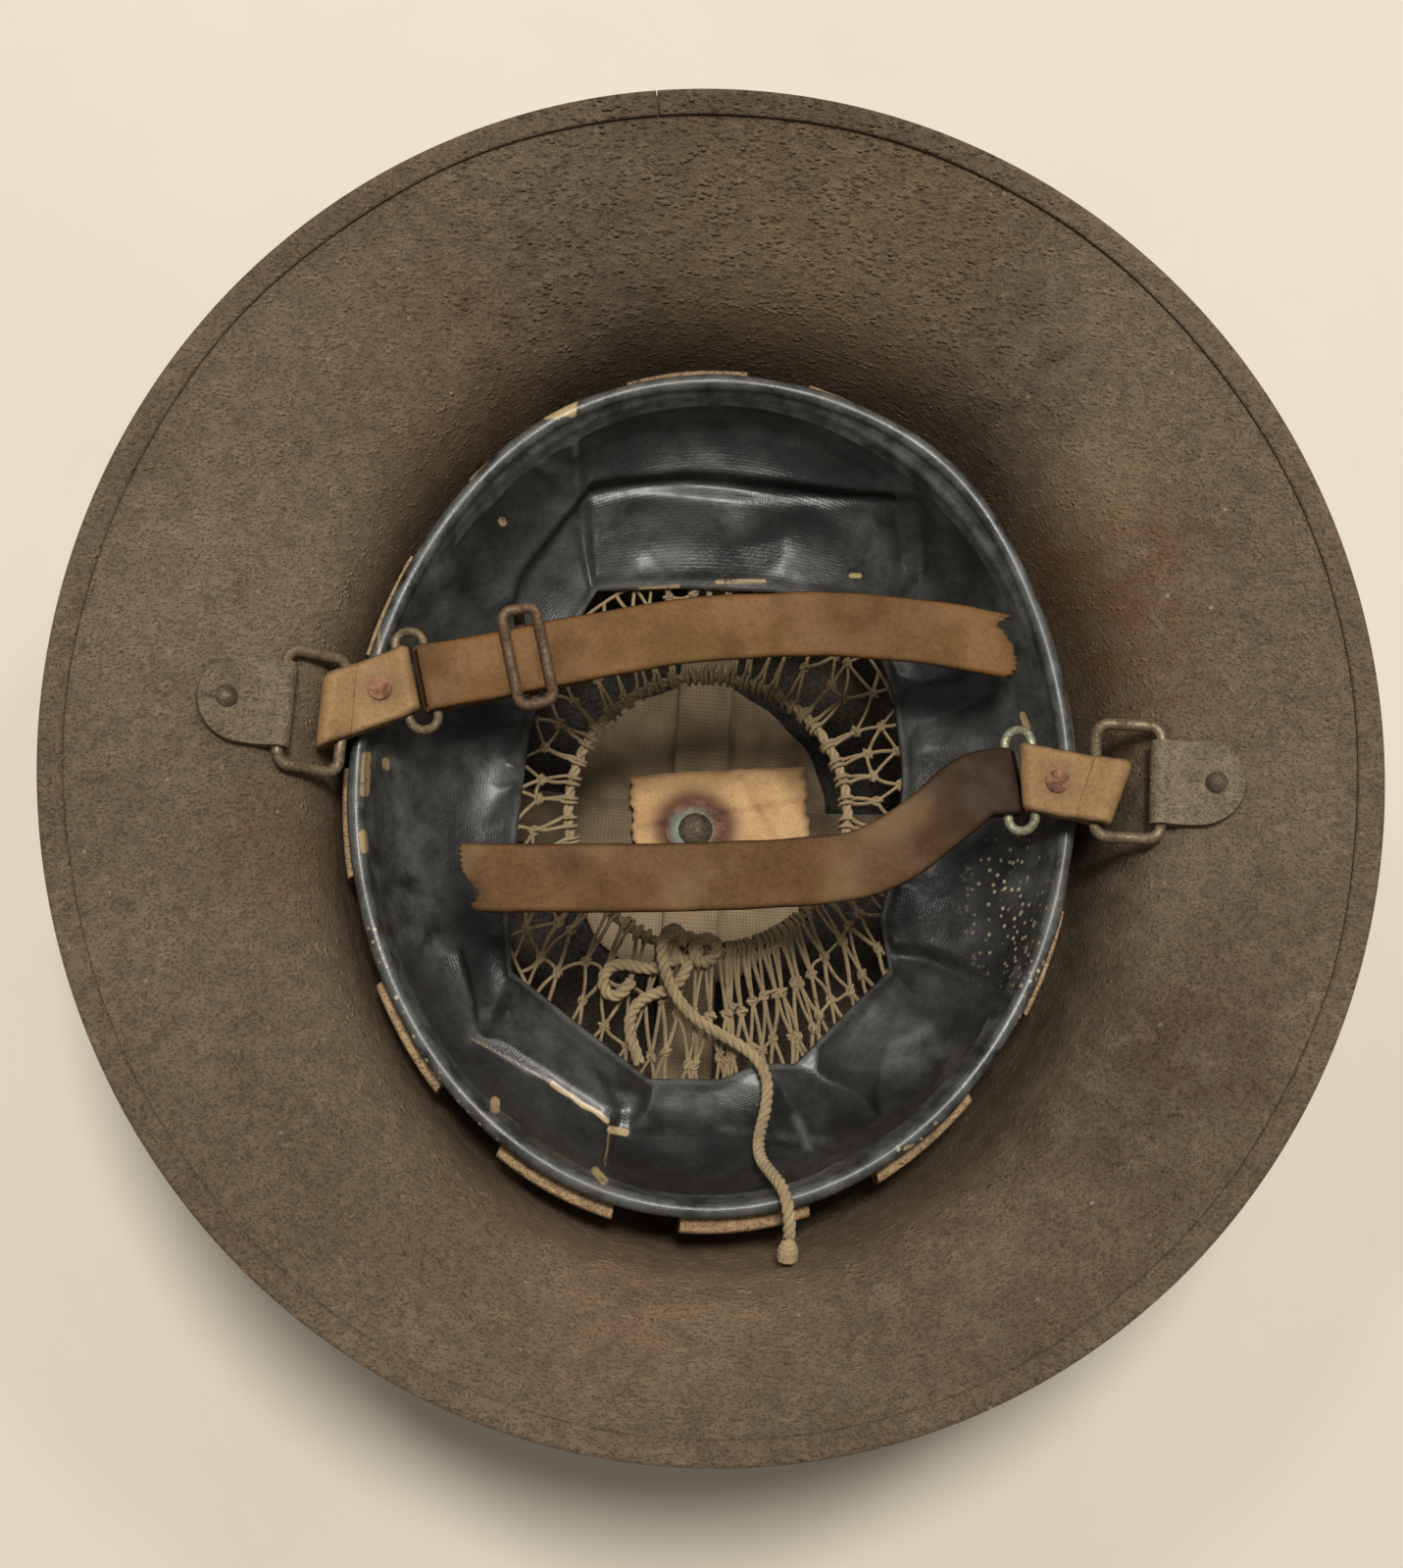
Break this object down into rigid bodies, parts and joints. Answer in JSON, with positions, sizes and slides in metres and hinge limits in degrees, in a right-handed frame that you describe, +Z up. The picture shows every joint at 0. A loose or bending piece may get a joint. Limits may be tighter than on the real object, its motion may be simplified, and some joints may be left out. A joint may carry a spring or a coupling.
{
  "type": "brodie helmet",
  "caption": "Wide-brimmed steel helmet lying crown down, with oilcloth and net liner, drawstring, folding strap lugs and torn leather chinstraps",
  "frame": {"origin": "on the surface that the crown rests on, below the middle of the rim", "axes": "+Z up out of the bowl, +Y along the longer way of the brim towards the back of the bowl's seam, +X across through the strap lugs"},
  "size_m": [0.2974, 0.3104, 0.1121],
  "materials": {
    "shell_paint": "matte sand-textured, worn and rust stained",
    "blackened_steel": "dull, oxidised",
    "green_brass": "green patina",
    "dark_felt": "matted felt",
    "webbing": "woven tape, dusty",
    "paper": "torn matte paper",
    "liner_leather": "dry, dull",
    "oilcloth": "cracked, worn satin",
    "net_twine": "twisted twine",
    "cord_cotton": "twisted cotton cord",
    "copper": "dull copper",
    "worn_lug_paint": "matte, chipped",
    "dark_wire": "blackened, dull",
    "green_wire": "pale green patina",
    "tan_leather": "dry, creased",
    "red_leather": "dry, creased",
    "old_rubber": "perished, matte"
  },
  "bodies": {
    "helmet": {"shell": "shell_paint", "rim_edging": "shell_paint", "crown_rivet": "blackened_steel", "crown_washer": "green_brass", "crown_pad": "dark_felt", "side_crown_strap": "webbing", "long_crown_strap": "webbing", "paper_label": "paper", "liner_band": "liner_leather", "oilcloth": "oilcloth", "net": "net_twine", "drawstring_ring": "cord_cotton", "drawstring_knot": "cord_cotton", "drawstring_tail": "cord_cotton", "drawstring_curl": "cord_cotton", "drawstring_short_end": "cord_cotton", "drawstring_end_knot": "cord_cotton", "tube_studs": "copper", "left_lug": "worn_lug_paint", "left_lug_rivet": "worn_lug_paint", "right_lug": "worn_lug_paint", "right_lug_rivet": "worn_lug_paint", "rubber_tube_01": "old_rubber", "rubber_tube_02": "old_rubber", "rubber_tube_03": "old_rubber", "rubber_tube_04": "old_rubber", "rubber_tube_05": "old_rubber", "rubber_tube_06": "old_rubber", "rubber_tube_07": "old_rubber", "rubber_tube_08": "old_rubber", "rubber_tube_09": "old_rubber", "rubber_tube_10": "old_rubber", "rubber_tube_11": "old_rubber", "rubber_tube_12": "old_rubber"},
    "left_bail": {"left_bail": "dark_wire"},
    "left_loop": {"left_loop": "tan_leather", "left_loop_rivet": "copper"},
    "left_ring": {"left_ring": "dark_wire"},
    "left_strap": {"left_strap": "tan_leather"},
    "slide_buckle": {"strap_slide": "dark_wire"},
    "right_bail": {"right_bail": "dark_wire"},
    "right_loop": {"right_loop": "tan_leather", "right_loop_rivet": "copper"},
    "right_ring": {"right_ring": "green_wire"},
    "right_strap": {"right_strap": "red_leather"}
  },
  "joints": [
    {"name": "left_bail_hinge", "type": "hinge", "parent": "helmet", "child": "left_bail", "pos_m": [-0.0997, 0.002, 0.09468], "axis": [0, -1, 0], "range_deg": [0, 110]},
    {"name": "left_loop_hinge", "type": "hinge", "parent": "left_bail", "child": "left_loop", "pos_m": [-0.08681, 0.002, 0.08663], "axis": [0, -1, 0], "range_deg": [0, 6]},
    {"name": "left_ring_hinge", "type": "hinge", "parent": "left_loop", "child": "left_ring", "pos_m": [-0.07425, 0.01174, 0.08464], "axis": [0.2756, -0.9613, 0], "range_deg": [0, 10]},
    {"name": "left_strap_hinge", "type": "hinge", "parent": "left_ring", "child": "left_strap", "pos_m": [-0.06787, 0.01357, 0.08371], "axis": [0.2756, -0.9613, 0], "range_deg": [0, 15]},
    {"name": "slide_travel", "type": "slide", "parent": "left_strap", "child": "slide_buckle", "axis": [0.9613, 0.2756, 0], "range_m": [-0.006, 0.006]},
    {"name": "right_bail_hinge", "type": "hinge", "parent": "helmet", "child": "right_bail", "pos_m": [0.1027, 0, 0.09402], "axis": [0, 1, 0], "range_deg": [0, 110]},
    {"name": "right_loop_hinge", "type": "hinge", "parent": "right_bail", "child": "right_loop", "pos_m": [0.08758, 0, 0.09243], "axis": [0, 1, 0], "range_deg": [0, 30]},
    {"name": "right_ring_hinge", "type": "hinge", "parent": "right_loop", "child": "right_ring", "pos_m": [0.07377, -0.00041, 0.08946], "axis": [-0.0872, 0.9962, 0], "range_deg": [0, 10]},
    {"name": "right_strap_hinge", "type": "hinge", "parent": "right_ring", "child": "right_strap", "pos_m": [0.0683, -0.00089, 0.08562], "axis": [-0.0872, 0.9962, 0], "range_deg": [0, 15]}
  ]
}
